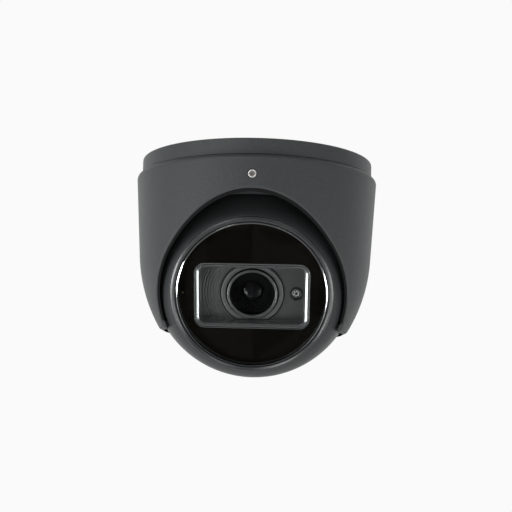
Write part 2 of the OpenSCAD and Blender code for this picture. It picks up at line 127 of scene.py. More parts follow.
def rounded(corners, steps=5):
    """A closed outline from (x, y, radius) corners, with each corner rounded."""
    points = []
    for i, (x, y, radius) in enumerate(corners):
        here = Vector((x, y))
        if radius <= 0:
            points.append((x, y))
            continue
        before = Vector(corners[i - 1][:2]) - here
        after = Vector(corners[(i + 1) % len(corners)][:2]) - here
        reach = min(radius, before.length * 0.49, after.length * 0.49)
        start = here + before.normalized() * reach
        end = here + after.normalized() * reach
        for k in range(steps + 1):
            t = k / steps
            p = start * (1 - t) ** 2 + here * 2 * t * (1 - t) + end * t**2
            points.append((p.x, p.y))
    return points


def along(points, count):
    """count points spread evenly along an open line of points, both ends kept."""
    pts = np.array(points, float)
    steps = np.hypot(*np.diff(pts, axis=0).T)
    run = np.concatenate([[0], np.cumsum(steps)])
    at = np.linspace(0, run[-1], count)
    return list(zip(np.interp(at, run, pts[:, 0]), np.interp(at, run, pts[:, 1])))


# ---- meshes ----

WELD = 1e-7
ON_AXIS = 1e-6


def make_object(name, verts, faces, space, sharp=35):
    """A mesh object from points in one of the frames, with its edges sharp beyond an angle."""
    mesh = bpy.data.meshes.new(name)
    mesh.from_pydata([tuple(space @ Vector(v)) for v in verts], [], faces)
    mesh.validate()
    obj = bpy.data.objects.new(name, mesh)
    bpy.context.scene.collection.objects.link(obj)
    finish_mesh(obj, sharp)
    return obj


def finish_mesh(obj, sharp):
    """Welds doubled points, faces everything outwards and shades it smooth up to an angle."""
    bpy.context.view_layer.objects.active = obj
    for other in bpy.context.selected_objects:
        other.select_set(False)
    obj.select_set(True)
    bpy.ops.object.mode_set(mode="EDIT")
    bpy.ops.mesh.select_all(action="SELECT")
    bpy.ops.mesh.remove_doubles(threshold=WELD)
    bpy.ops.mesh.normals_make_consistent(inside=False)
    bpy.ops.object.mode_set(mode="OBJECT")
    obj.data.shade_smooth()
    obj.data.set_sharp_from_angle(angle=math.radians(sharp))


def sweep(name, sections, space, sharp, start=0.0):
    """A closed solid from one outline of (radius, height) for each angle around the third axis."""
    count, size = len(sections), len(sections[0])
    verts = []
    for i, section in enumerate(sections):
        angle = start + 2 * math.pi * i / count
        verts += [(r * math.cos(angle), r * math.sin(angle), z) for r, z in section]
    faces = []
    for i in range(count):
        for k in range(size):
            after = (k + 1) % size
            if max(sections[i][k][0], sections[i][after][0]) < ON_AXIS:
                continue
            here, there = i * size, (i + 1) % count * size
            faces.append([here + k, here + after, there + after, there + k])
    return make_object(name, verts, faces, space, sharp)


def lathe(name, outline, space, around, sharp=35):
    """A closed solid of revolution from one outline of (radius, height)."""
    return sweep(name, [outline] * around, space, sharp)


def rectangle_loop(width, height, corner, steps=8, smallest=0.2):
    """Points around a rectangle with round corners, centred on the origin."""
    corner = max(corner, smallest)
    points = []
    for quarter, (sx, sy) in enumerate([(1, 1), (-1, 1), (-1, -1), (1, -1)]):
        centre = (sx * (width / 2 - corner), sy * (height / 2 - corner))
        points += arc(centre, corner, quarter * 90, quarter * 90 + 90, steps)
    return points


def frame_sweep(name, section, width, height, corner, space):
    """A closed frame: section is an outline of (inset, height), carried round a rectangle."""
    loops = []
    for inset, z in section:
        loop = rectangle_loop(width - 2 * inset, height - 2 * inset, corner - inset)
        loops.append([(x, y, z) for x, y in loop])
    size = len(loops[0])
    verts = [v for loop in loops for v in loop]
    faces = []
    for i in range(len(loops)):
        for k in range(size):
            j, m = (i + 1) % len(loops), (k + 1) % size
            faces.append([i * size + k, i * size + m, j * size + m, j * size + k])
    return make_object(name, verts, faces, space)


def cut(obj, cutter, sharp=35):
    """Takes one solid away from another and removes the tool."""
    modifier = obj.modifiers.new("cut", "BOOLEAN")
    modifier.operation = "DIFFERENCE"
    modifier.solver = "EXACT"
    modifier.object = cutter
    bpy.context.view_layer.objects.active = obj
    bpy.ops.object.modifier_apply(modifier=modifier.name)
    bpy.data.objects.remove(cutter)
    finish_mesh(obj, sharp)


def prism(name, outline, low, high, space):
    """A closed prism of an outline of (x, y), between two heights."""
    size = len(outline)
    verts = [(x, y, low) for x, y in outline] + [(x, y, high) for x, y in outline]
    faces = [[k, (k + 1) % size, size + (k + 1) % size, size + k] for k in range(size)]
    faces += [list(range(size)), list(range(size, 2 * size))]
    return make_object(name, verts, faces, space)


# ---- materials ----


def new_material(name):
    """A Principled material, its shader and its node tree."""
    material = bpy.data.materials.new(name)
    material.use_nodes = True
    tree = material.node_tree
    shader = tree.nodes["Principled BSDF"]
    return material, shader, tree


def add_node(tree, kind, **inputs):
    """A node with its inputs set: an underscore stands for a space in an input's name."""
    node = tree.nodes.new(kind)
    for key, value in inputs.items():
        node.inputs[key.replace("_", " ")].default_value = value
    return node


def coordinates(tree):
    return tree.nodes.new("ShaderNodeTexCoord").outputs["Object"]


def noise(tree, scale, detail, roughness=0.5):
    node = add_node(tree, "ShaderNodeTexNoise", Scale=scale, Detail=detail, Roughness=roughness)
    tree.links.new(coordinates(tree), node.inputs["Vector"])
    return node.outputs["Fac"]


def ramp(tree, value, low, high, start=0.0, end=1.0):
    """Maps a 0 to 1 value on to a range of numbers."""
    node = add_node(tree, "ShaderNodeMapRange", From_Min=start, From_Max=end, To_Min=low, To_Max=high)
    tree.links.new(value, node.inputs["Value"])
    return node.outputs["Result"]


def blend_colours(tree, value, first, second):
    """Goes from the first colour to the second as a value goes from 0 to 1."""
    node = tree.nodes.new("ShaderNodeMix")
    node.data_type = "RGBA"
    tree.links.new(value, node.inputs["Factor"])
    node.inputs["A"].default_value = (*first, 1)
    node.inputs["B"].default_value = (*second, 1)
    return node.outputs["Result"]


def bump(tree, shader, height, distance):
    node = add_node(tree, "ShaderNodeBump", Strength=1.0, Distance=distance)
    tree.links.new(height, node.inputs["Height"])
    tree.links.new(node.outputs["Normal"], shader.inputs["Normal"])


def grained(name, colour, spread, rough, grain, depth, metallic=0.0, specular=0.5, cloud=60):
    """A moulded or coated surface: fine grain in its relief and slight clouds in its colour."""
    material, shader, tree = new_material(name)
    rough_swing = 0.06
    clouds = noise(tree, cloud, 4)
    dark = tuple(c * (1 - spread) for c in colour)
    light = tuple(c * (1 + spread) for c in colour)
    tree.links.new(blend_colours(tree, clouds, dark, light), shader.inputs["Base Color"])
    fine = noise(tree, grain, 2, 0.6)
    roughness = ramp(tree, fine, rough - rough_swing, rough + rough_swing)
    tree.links.new(roughness, shader.inputs["Roughness"])
    bump(tree, shader, fine, depth)
    shader.inputs["Metallic"].default_value = metallic
    shader.inputs["Specular IOR Level"].default_value = specular
    return material


def clear_glass(name, tint, ior):
    """A clear piece: what is behind it shows through straight, and the lamps reach it."""
    material = bpy.data.materials.new(name)
    material.use_nodes = True
    tree = material.node_tree
    tree.nodes.clear()
    out = tree.nodes.new("ShaderNodeOutputMaterial")
    through = add_node(tree, "ShaderNodeBsdfTransparent", Color=(*tint, 1))
    shine = add_node(tree, "ShaderNodeBsdfGlossy", Roughness=0.0)
    fresnel = add_node(tree, "ShaderNodeFresnel", IOR=ior)
    mix = tree.nodes.new("ShaderNodeMixShader")
    tree.links.new(fresnel.outputs["Fac"], mix.inputs["Fac"])
    tree.links.new(through.outputs["BSDF"], mix.inputs[1])
    tree.links.new(shine.outputs["BSDF"], mix.inputs[2])
    tree.links.new(mix.outputs["Shader"], out.inputs["Surface"])
    return material


def machined(name, colour, rough):
    """Bare metal with fine turning marks."""
    material, shader, tree = new_material(name)
    shade, rough_swing, mark_scale, mark_depth = 0.85, 0.3, 400, 0.00002
    shader.inputs["Metallic"].default_value = 1.0
    marks = noise(tree, mark_scale, 3)
    dark = tuple(c * shade for c in colour)
    tree.links.new(blend_colours(tree, marks, dark, colour), shader.inputs["Base Color"])
    roughness = ramp(tree, marks, rough * (1 - rough_swing), rough * (1 + rough_swing))
    tree.links.new(roughness, shader.inputs["Roughness"])
    bump(tree, shader, marks, mark_depth)
    return material


COAT = grained("powder_coat", (0.059, 0.064, 0.066), 0.35, 0.46, 2200, 0.0002, cloud=1500)
BALL_COAT = grained("ball_coat", (0.046, 0.049, 0.051), 0.05, 0.38, 2600, 0.00004)
BEZEL = grained("bezel_coat", (0.036, 0.038, 0.040), 0.05, 0.3, 2200, 0.00002, specular=1.0)
RUBBER = grained("black_rubber", (0.012, 0.012, 0.012), 0.15, 0.75, 900, 0.00004)
PLASTIC = grained("black_plastic", (0.010, 0.010, 0.011), 0.12, 0.45, 1500, 0.00003)
SHROUD = grained("shroud_plastic", (0.36, 0.365, 0.38), 0.05, 0.2, 1800, 0.00001, metallic=0.8)
PANEL = grained("panel_plastic", (0.100, 0.101, 0.106), 0.05, 0.34, 1800, 0.00002, metallic=0.3)
TRIM = grained("trim_plastic", (0.17, 0.172, 0.178), 0.05, 0.35, 1800, 0.00002, metallic=0.3)
NOSE = grained("nose_plastic", (0.3, 0.3, 0.31), 0.05, 0.25, 1500, 0.00001, metallic=0.6)
# Painted shade: near-black colour laid over the opening's cut edge, where it falls into shadow towards
# the ball.
OPENING_SHADE = grained("opening_painted_shade", (0.006, 0.006, 0.006), 0.1, 0.6, 1500, 0.00001, specular=0.2)
OPTIC_BLACK = grained("optic_black", (0.008, 0.008, 0.0075), 0.1, 0.6, 1500, 0.00001, specular=0.15)
MASK = grained("mask_print", (0.0030, 0.0022, 0.0012), 0.2, 0.7, 2000, 0.000002, specular=0.1)
CHIP = grained("chip_package", (0.015, 0.015, 0.016), 0.1, 0.5, 1500, 0.00002)
BOARD = grained("circuit_board", (0.01, 0.09, 0.04), 0.2, 0.35, 500, 0.00002)
PAD = grained("thermal_pad", (0.12, 0.17, 0.24), 0.1, 0.8, 700, 0.00004)
FILM = grained("flex_film", (0.36, 0.15, 0.02), 0.1, 0.3, 900, 0.00001)
EMITTER = grained("emitter_resin", (0.6, 0.55, 0.3), 0.1, 0.25, 900, 0.00001)
# Plated steel for the set screw, which also serves as the near-white painted highlight spots under the
# sensor dome.
PLATED_AND_GLINTS = grained("plated_steel_and_painted_glints", (0.93, 0.92, 0.90), 0.05, 0.3, 600, 0.00002, metallic=0.35)
STEEL = machined("stainless_steel", (0.86, 0.85, 0.83), 0.35)
BRASS = machined("turned_brass", (0.75, 0.52, 0.2), 0.28)
ALUMINIUM = machined("stamped_aluminium", (0.7, 0.71, 0.73), 0.35)
GLASS = clear_glass("front_glass", (0.93, 0.94, 0.93), 1.05)
GLASS_EDGE = machined("polished_edge", (0.92, 0.93, 0.95), 0.06)
ELEMENT = clear_glass("lens_coating", (0.8, 0.82, 0.84), 1.03)
INNER_LENS = grained("inner_coating", (0.010, 0.009, 0.010), 0.1, 0.12, 200, 0.0, specular=0.3)
ACRYLIC = clear_glass("clear_acrylic", (0.96, 0.97, 0.98), 1.25)


def paint(obj, material):
    obj.data.materials.clear()
    obj.data.materials.append(material)


def place(obj, body, material, slot, *nodes):
    """Paints a piece, hangs it on its body and lets it stand for CAD nodes."""
    paint(obj, material)
    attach(obj, body)
    if nodes:
        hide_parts(*nodes)
    return obj


# ---- base ----


def make_base():
    """The cast base: a plate and its collar with a bayonet lip, screw holes and a gasket groove."""
    cable_hole_r, plate_low, under = 13.0, -3.0, COVER_HIGH.z + BASE_GAP
    collar_r, collar_in, collar_low = 54.5, 51.5, BASE_LOW.z
    lip_r, lip_high, lip_low = 57.5, -12.4, -13.8
    screw_circle_r, screw_hole_r = 39.0, 2.25
    groove_in, groove_out, groove_depth = 47.0, 50.0, 1.0
    base = lathe("base_casting", rounded([
        (cable_hole_r, 0, 0.4), (BASE_R, 0, 1.1), (BASE_R, under, 0.5), (collar_r, under, 0.2),
        (collar_r, lip_high, 0.2), (lip_r, lip_high, 0.2), (lip_r, lip_low, 0.2),
        (collar_r, lip_low, 0.2), (collar_r, collar_low, 0.3), (collar_in, collar_low, 0.3),
        (collar_in, plate_low, 0.8), (cable_hole_r, plate_low, 0.4),
    ]), BASE_MM, 256)
    for angle in (90, 210, 330):
        turn = math.radians(angle)
        at = (screw_circle_r * math.cos(turn), screw_circle_r * math.sin(turn))
        cut(base, prism("tool", arc(at, screw_hole_r, 0, 348, 29), plate_low - 2, 2, BASE_MM))
    cut(base, lathe("tool", [
        (groove_in, -groove_depth), (groove_out, -groove_depth),
        (groove_out, groove_depth), (groove_in, groove_depth)], BASE_MM, 256))
    place(base, "base", COAT, "powder_coat", "base_plate")


# ---- cover ----


def beyond(point, cos_turn):
    """How far a section's point lies past the opening's plane, for a section at that turn."""
    r, z = point
    return math.cos(OPENING_DIP) * r * cos_turn - math.sin(OPENING_DIP) * (z - BALL_Z) - OPENING_REACH


def until_plane(line, cos_turn):
    """The part of an open line before it first crosses the opening's plane, and whether it did."""
    kept = [line[0]]
    for here, after in zip(line, line[1:]):
        a, b = beyond(here, cos_turn), beyond(after, cos_turn)
        if b > 0:
            t = a / (a - b)
            kept.append((here[0] + (after[0] - here[0]) * t, here[1] + (after[1] - here[1]) * t))
            return kept, True
        kept.append(after)
    return kept, False


def cover_lines():
    """The cover's shoulder, side, bottom lip and inner wall as open lines of (radius, height)."""
    shoulder_r, shoulder_from = COVER_R - BASE_R, 83
    swell_centre, swell_from, swell_to = (-20.1, -45.0), (58.4, -50.0), -31
    lip_r, lip_rise, lip_round = 46.3, 0.7, 0.6
    bottom = COVER_LOW.z
    swell_r = math.dist(swell_centre, swell_from)
    inside_r = swell_r - COVER_WALL
    first = -math.degrees(math.asin((swell_centre[1] - swell_from[1]) / swell_r))
    shoulder_z = COVER_HIGH.z - shoulder_r
    shoulder = arc((COVER_R - shoulder_r, shoulder_z), shoulder_r, shoulder_from, 0, 10)
    side = [shoulder[-1]] + arc(swell_centre, swell_r, first, swell_to, 60)
    lip_in = swell_centre[0] + math.sqrt(inside_r**2 - (bottom - swell_centre[1]) ** 2)
    lip = rounded([side[-1] + (0,), (lip_r, bottom + lip_rise, lip_round), (lip_in, bottom, 0)])
    inner_from = math.degrees(math.asin((bottom - swell_centre[1]) / inside_r))
    inner = arc(swell_centre, inside_r, inner_from, first, 60)
    inner += [(COVER_R - COVER_WALL, shoulder_z), (COVER_R - COVER_WALL, shoulder[0][1])]
    return shoulder, side, lip, inner


def soften(before, corner, after, reach, steps=5, most=0.6):
    """Points of a curve that rounds a corner: most limits it to a share of the way to after."""
    before, corner, after = Vector(before), Vector(corner), Vector(after)
    first = corner + (before - corner).normalized() * min(reach, (before - corner).length)
    last = corner + (after - corner).normalized() * min(reach, (after - corner).length * most)
    return [tuple(first * (1 - t) ** 2 + corner * 2 * t * (1 - t) + last * t**2)
            for t in (k / steps for k in range(steps + 1))]


def shorten(line, reach, least=0.3):
    """An open line with a length taken off its end, down to the least share of the line."""
    pts = np.array(line, float)
    run = np.concatenate([[0], np.cumsum(np.hypot(*np.diff(pts, axis=0).T))])
    stop = max(run[-1] - reach, run[-1] * least)
    at = list(run[run < stop]) + [stop]
    return list(zip(np.interp(at, run, pts[:, 0]), np.interp(at, run, pts[:, 1])))


def cover_section(turn):
    """The outline of the cover's wall in the half-plane at that turn from the front."""
    shoulder, side, lip, inner = cover_lines()
    cos_turn = math.cos(turn)
    side, side_cut = until_plane(side, cos_turn)
    downward, inner_cut = until_plane(inner[::-1], cos_turn)
    inner = downward[::-1]
    if side_cut:
        tip = [inner[0]]
        if not inner_cut and any(beyond(p, cos_turn) <= 0 for p in lip):
            tip = until_plane(lip[::-1], cos_turn)[0][::-1]
        lip = [side[-1]] + tip
    side = shorten(side, OUTER_ROUND)
    bottom = along(lip, 9)
    start = soften(side[-1], bottom[0], lip[1], OUTER_ROUND, 9)
    end = soften(bottom[-2], bottom[-1], inner[1], INNER_ROUND)
    rise = along(shorten(inner[::-1], INNER_ROUND)[::-1], 56)
    return shoulder[:-1] + along(side, 64)[:-1] + start + end + rise[1:]


def make_cover():
    count, front = 480, -math.pi / 2
    sections = [cover_section(2 * math.pi * i / count) for i in range(count)]
    cover = sweep("cover_casting", sections, BASE_MM, 50, front)
    bore_r, flare_r = 2.2, 2.6
    inside, flare_from, outside = 50, 59.9, 62
    hole = lathe("tool", [(0, inside), (bore_r, inside), (bore_r, flare_from), (flare_r, outside),
                          (0, outside)], SCREW_MM, 48)
    cut(cover, hole, 50)
    place(cover, "cover", COAT, "powder_coat", "cover_shell")


def make_opening_shade():
    """A near-black band over the opening's cut edge, between the coat and the ball: painted shade where
    the edge falls into shadow towards the ball.
    """
    half_turn, proud = 66, 0.04
    outer_share, inner_share = 0.4, 1.03
    _, side, _, inner = cover_lines()
    verts, faces = [], []
    for degrees in range(-half_turn, half_turn + 1):
        turn = math.radians(degrees)
        outside = until_plane(side, math.cos(turn))[0][-1]
        inside = until_plane(inner[::-1], math.cos(turn))[0][-1]
        ahead = (math.cos(OPENING_DIP) * math.cos(turn) * proud, -math.sin(OPENING_DIP) * proud)
        angle = turn - math.pi / 2
        for share, step in ((outer_share, -2), (outer_share, 1), (inner_share, 1), (inner_share, -2)):
            r = outside[0] + (inside[0] - outside[0]) * share + ahead[0] * step
            z = outside[1] + (inside[1] - outside[1]) * share + ahead[1] * step
            verts.append((r * math.cos(angle), r * math.sin(angle), z))
    last = len(verts) - 4
    for first in range(0, last, 4):
        faces += [[first + k, first + (k + 1) % 4, first + 4 + (k + 1) % 4, first + 4 + k]
                  for k in range(4)]
    faces += [[0, 1, 2, 3], [last, last + 1, last + 2, last + 3]]
    shade_band = make_object("opening_shade_band", verts, faces, BASE_MM)
    place(shade_band, "cover", OPENING_SHADE, "rubber")


def polygon_reach(radius, sides, angle):
    """How far a regular polygon with a corner on its first axis reaches at an angle."""
    step = 2 * math.pi / sides
    return radius * math.cos(step / 2) / math.cos(angle % step - step / 2)


def make_lock_screw():
    """The socket set screw, with a bright ring in its mouth down to a hexagonal socket."""
    screw_r, tip_r, socket_r, socket_depth = 2, 1.2, 1.35, 2.4
    tip, mouth = -SCREW_HIGH.y, -SCREW_LOW.y
    screw = lathe("set_screw", rounded([
        (0, tip, 0), (tip_r, tip, 0.2), (screw_r, tip + screw_r - tip_r, 0.2), (screw_r, mouth, 0.35),
        (socket_r, mouth, 0.15), (socket_r, mouth - socket_depth, 0), (0, mouth - socket_depth, 0),
    ]), SCREW_MM, 96)
    place(screw, "lock", PLATED_AND_GLINTS, "stainless", "lock_screw")

    ring_r, hexagon_r, size = 1.37, 1.2672, 48
    ring_high, ring_low, floor = mouth - 0.12, mouth - 0.35, mouth - 2.3
    turns = [2 * math.pi * k / size for k in range(size)]
    verts = []
    for hexagonal, z in ((False, ring_high), (False, ring_low), (True, ring_low), (True, floor),
                         (False, floor)):
        for turn in turns:
            r = polygon_reach(hexagon_r, 6, turn) if hexagonal else ring_r
            verts.append((r * math.cos(turn), r * math.sin(turn), z))
    faces = []
    for first in range(0, len(verts), size):
        second = (first + size) % len(verts)
        faces += [[first + k, first + (k + 1) % size, second + (k + 1) % size, second + k]
                  for k in range(size)]
    socket = make_object("set_screw_socket", verts, faces, SCREW_MM, 25)
    place(socket, "lock", STEEL, "stainless")


# ---- ball ----


def make_ball():
    """The ball's front housing: a shell with a flange that the bezel and glass sit on."""
    split, spigot_r, cavity_r = 2.7, 50.2, 47.5
    flange_in, flange_back, bore = 35.2, 26.6, BEZEL_R + 0.1
    edge, chamfer, lip, seam = 0.25, 0.08, 0.15, 0.35
    rim = math.degrees(math.asin(math.sqrt(BALL_R**2 - (bore + edge) ** 2) / BALL_R))
    low = math.degrees(math.asin((split + edge) / BALL_R))
    inner = math.degrees(math.asin(flange_back / cavity_r))
    outline = arc((0, 0), BALL_R, low, rim, 96)
    rim_z = outline[-1][1]
    outline += [(bore + chamfer, rim_z + chamfer), (bore, rim_z - lip)]
    outline += [(bore, BEZEL_BACK), (flange_in, BEZEL_BACK), (flange_in, flange_back)]
    outline += arc((0, 0), cavity_r, inner, 0, 30)
    outline += [(cavity_r, -split), (spigot_r, -split), (spigot_r, split), (BALL_R - seam, split)]
    front = lathe("ball_front_shell", outline, EYE_MM, 288)
    place(front, "eye", BALL_COAT, "powder_coat", "ball_front")


def make_stop_ring():
    """The slip ring at the ball's waist, with the two trunnions it tilts on."""
    half, outer, inner = 2.4, BALL_R - 0.1, 50.5
    chamfer, seam = 0.25, 0.35
    edge = math.degrees(math.asin((half - chamfer) / outer))
    outline = arc((0, 0), outer, -edge, edge, 8)
    outline += [(outer - seam, half), (inner, half), (inner, -half), (outer - seam, -half)]
    ring = lathe("slip_ring", outline, EYE_MM, 256)
    place(ring, "tilt_ring", PLASTIC, "black_plastic", "stop_ring")
    root, tip = BALL_R - 1.4, extent("stop_ring", EYE_MM)[1].x
    for side, name in ((-1, "left_trunnion"), (1, "right_trunnion")):
        across = EYE_MM @ Matrix.Rotation(math.radians(90 * side), 4, "Y")
        outline = rounded([(0, root, 0), (TRUNNION_R, root, 0), (TRUNNION_R, tip, 0.3), (0, tip, 0)])
        pin = lathe(name, outline, across, 48)
        place(pin, "tilt_ring", PLASTIC, "black_plastic")


def make_bezel():
    """The ring around the glass: an outer step, a narrow flat front and a slope in to the glass."""
    inner = GLASS_R + 0.45
    step, slope = 0.75, 1.1
    outline = rounded([
        (inner, BEZEL_BACK, 0), (BEZEL_R, BEZEL_BACK, 0), (BEZEL_R, BEZEL_FRONT - step, 0.12),
        (BEZEL_R - 0.2, BEZEL_FRONT - 0.55, 0.1), (BEZEL_R - 1.15, BEZEL_FRONT, 0.2),
        (BEZEL_R - 1.4, BEZEL_FRONT, 0.15), (inner + 0.25, BEZEL_FRONT - 0.7, 0.2),
        (inner, BEZEL_FRONT - slope, 0),
    ])
    bezel = lathe("bezel_ring", outline, EYE_MM, 288)
    place(bezel, "eye", BEZEL, "bezel_coat", "front_bezel")


def make_glass():
    """The round front glass and the polished bevel around it."""
    bevel, depth = 0.6, 0.31
    rim = GLASS_R - bevel
    pane = lathe("front_pane", [
        (0, GLASS_BACK), (rim, GLASS_BACK), (rim, GLASS_FRONT), (0, GLASS_FRONT)], EYE_MM, 288, 20)
    place(pane, "eye", GLASS, "front_glass", "window_glass")
    ground = lathe("pane_bevel", rounded([
        (rim, GLASS_BACK, 0), (GLASS_R, GLASS_BACK, 0.1), (GLASS_R, GLASS_FRONT - depth, 0.1),
        (rim, GLASS_FRONT, 0)]), EYE_MM, 288, 15)
    place(ground, "eye", GLASS_EDGE, "front_glass")


# ---- what shows through the pane ----


def make_shroud():
    """The frame behind the pane: an outer bead, a groove, an inner bead and a wall to the panel."""
    top, low, panel = SHROUD_HIGH.z, SHROUD_LOW.z + 0.05, PANEL_Z - 0.1
    section = rounded([
        (0, top - 0.5, 0), (0.15, top - 0.1, 0.1), (0.5, top - 0.05, 0.15), (0.65, top - 1.0, 0.05),
        (1.1, top - 1.0, 0.05), (1.25, top, 0.08), (1.4, top, 0.08), (2.5, top - 0.6, 0.1),
        (2.6, top - 1.3, 0.1), (2.98, low, 0.1), (3.05, low, 0), (3.05, panel, 0),
        (2.84, panel, 0), (2.84, low - 0.05, 0), (0, low - 0.05, 0),
    ])
    width, height = SHROUD_HIGH.x * 2, SHROUD_HIGH.y * 2
    shroud = frame_sweep("pane_shroud", section, width, height, PANE_CORNER, LENS_MM)
    place(shroud, "eye", SHROUD, "panel_plastic", "lens_shroud")


def panel_height(radius, angle):
    """Height of the panel's face: shallow steps around the lens on the left, plain elsewhere."""
    first, last, pitch, depth = 16.6, 25.4, 1.35, 0.5
    edge, fade_width, rise_share = 0.25, 0.12, 0.75
    left = -math.cos(angle)
    if left < edge or not first < radius < last:
        return PANEL_Z
    phase = ((radius - first) / pitch) % 1.0
    fade = min(1.0, (left - edge) / fade_width)
    step = phase if phase < rise_share else (1 - phase) / (1 - rise_share) * rise_share
    return PANEL_Z + depth * fade * step


def make_panel():
    """The panel around the lens, cut off level above and below its trim ring, with a sensor well."""
    count, steps = 360, 90
    hole_gap, half_gap, least = 0.5, 0.4, 0.05
    well_r, well_low, well_high = 2.55, 20, 40
    sections = []
    for i in range(count):
        angle = 2 * math.pi * i / count
        c, s = max(abs(math.cos(angle)), 1e-9), max(abs(math.sin(angle)), 1e-9)
        reach = min(PLATE_HIGH.x / c, PLATE_HIGH.y / s)
        hole = min(RING_R + hole_gap, (RING_HALF + half_gap) / s)
        radii = np.linspace(hole, max(reach, hole + least), steps)
        face = [(r, panel_height(r, angle)) for r in radii]
        sections.append([(hole, PLATE_LOW.z)] + face + [(reach, PLATE_LOW.z)])
    panel = sweep("ridged_panel", sections, LENS_MM, 40)
    well = [(0, well_low), (well_r, well_low), (well_r, well_high), (0, well_high)]
    cut(panel, lathe("tool", well, SENSOR_MM, 48), 40)
    place(panel, "eye", PANEL, "panel_plastic", "lens_plate")


def make_trim_ring():
    """The ring around the lens nose, cut off level above and below."""
    count, hole = 288, NOSE_R + 0.5
    low, high = PLATE_LOW.z, PANEL_Z + 1.0
    edge, round_in = 0.35, 0.3
    sections = []
    for i in range(count):
        s = max(abs(math.sin(2 * math.pi * i / count)), 1e-9)
        reach = min(RING_R, RING_HALF / s)
        sections.append(rounded([
            (hole, low, 0), (reach, low, 0), (reach, high - edge, 0.2), (reach - edge, high, 0.2),
            (hole + round_in, high, 0.2), (hole, high - round_in, 0.2)]))
    ring = sweep("lens_surround", sections, LENS_MM, 35)
    place(ring, "eye", TRIM, "panel_plastic", "lens_trim_ring")


# ---- lens ----

NOSE_IN = ELEMENT_R + 0.1
NOSE_RING_BACK = BARREL_HIGH.z - 1.0
BARREL_R = 15.0
BARREL_WALL = 1.7
BARREL_FLOOR = 1.4


def make_barrel():
    """The lens barrel: a tube with a floor, slotted above and below, and a narrower nose."""
    tube_in, rear_hole = 13.2, 8.0
    slot_half, slot_in, slot_out, slot_low = 1.9, 12, 17, 0.4
    back, front = BARREL_LOW.z, PLATE_LOW.z
    barrel = lathe("barrel", rounded([
        (rear_hole, back, 0), (BARREL_R, back, 0.3), (BARREL_R, front, 0.3), (NOSE_R, front, 0),
        (NOSE_R, NOSE_RING_BACK, 0), (NOSE_IN, NOSE_RING_BACK, 0), (NOSE_IN, front - BARREL_WALL, 0),
        (tube_in, front - BARREL_WALL, 0), (tube_in, back + BARREL_FLOOR, 0),
        (rear_hole, back + BARREL_FLOOR, 0),
    ]), LENS_MM, 192)
    for side in (-1, 1):
        slot = [(x, side * y) for x, y in ((-slot_half, slot_in), (slot_half, slot_in),
                                           (slot_half, slot_out), (-slot_half, slot_out))]
        cut(barrel, prism("tool", slot, slot_low, front - BARREL_WALL, LENS_MM))
    place(barrel, "eye", OPTIC_BLACK, "black_plastic", "lens_barrel")


def make_nose_ring():
    """The bright double ring on the lens nose."""
    front = BARREL_HIGH.z
    ring = lathe("nose_ring", rounded([
        (NOSE_IN, NOSE_RING_BACK, 0), (NOSE_R, NOSE_RING_BACK, 0), (NOSE_R, front - 0.3, 0.2),
        (NOSE_R - 0.25, front, 0.15), (NOSE_R - 0.45, front, 0.1),
        (NOSE_R - 0.6, front - 0.6, 0.05), (NOSE_R - 0.75, front - 0.6, 0.05),
        (NOSE_R - 0.85, front - 0.1, 0.1), (NOSE_R - 1.05, front - 0.1, 0.1),
        (NOSE_IN, front - 0.8, 0.1),
    ]), LENS_MM, 192)
    place(ring, "eye", NOSE, "black_plastic")


def make_barrel_plate():
    """The plate around the barrel's foot, and the lugs above and below it that hold the rods."""
    half, tab_half, tab_reach, rod_y, rod_hole_r = 18, 5, 23, 17.8, 1.1
    lug_half, lug_in, lug_out = 3, 14.5, 20.3
    back, front = BARREL_LOW.z, PLATE_LOW.z
    side_half = [(half, -half), (half, half), (tab_half, half), (tab_half, tab_reach),
                 (-tab_half, tab_reach), (-tab_half, half)]
    outline = side_half + [(-x, -y) for x, y in side_half]
    plate = prism("barrel_plate", outline, back, back + BARREL_FLOOR, LENS_MM)
    cut(plate, prism("tool", arc((0, 0), BARREL_R, 0, 355, 71), back - 1, back + 3, LENS_MM))
    for side in (-1, 1):
        rod_hole = arc((0, side * rod_y), rod_hole_r, 0, 345, 23)
        cut(plate, prism("tool", rod_hole, back - 1, back + 3, LENS_MM))
    place(plate, "eye", PLASTIC, "black_plastic")
    for side, name in ((-1, "lower_lug"), (1, "upper_lug")):
        outline = [(x, side * y) for x, y in ((-lug_half, lug_in), (lug_half, lug_in),
                                              (lug_half, lug_out), (-lug_half, lug_out))]
        lug = prism(name, outline, front - BARREL_WALL, front, LENS_MM)
        place(lug, "eye", PLASTIC, "black_plastic")


def make_front_element():
    """The front lens, drawn as one clear solid that reaches back over the parts behind it."""
    bend, back, rim_z = 24.0, 22.6, 25.2
    edge = math.degrees(math.asin(ELEMENT_R / bend))
    face = arc((0, ELEMENT_FRONT - bend), bend, 90 - edge, 90, 40)
    face[-1] = (0, ELEMENT_FRONT)
    outline = [(0, back), (ELEMENT_R - 0.1, back), (ELEMENT_R, rim_z)] + face
    element = lathe("front_lens", outline, LENS_MM, 160, 30)
    place(element, "eye", ELEMENT, "lens_glass", "front_element")


LENS_SEAT = 22.7


def make_baffle():
    """The stepped black baffle behind the front lens."""
    back, rim_z, seat_r = 22.2, 25.0, 5.3
    widest, tread, highest, rise = 9.9, 0.75, 24.9, 0.35
    stairs = []
    for step in range(6):
        radius, z = widest - step * tread, highest - step * rise
        stairs += [(radius, z), (radius - 0.1, z - 0.45)]
    outline = [(ELEMENT_R, rim_z)] + stairs
    outline += [(seat_r, LENS_SEAT), (0, LENS_SEAT), (0, back), (ELEMENT_R, back)]
    baffle = lathe("lens_baffle", outline, LENS_MM, 128)
    place(baffle, "eye", OPTIC_BLACK, "black_plastic")


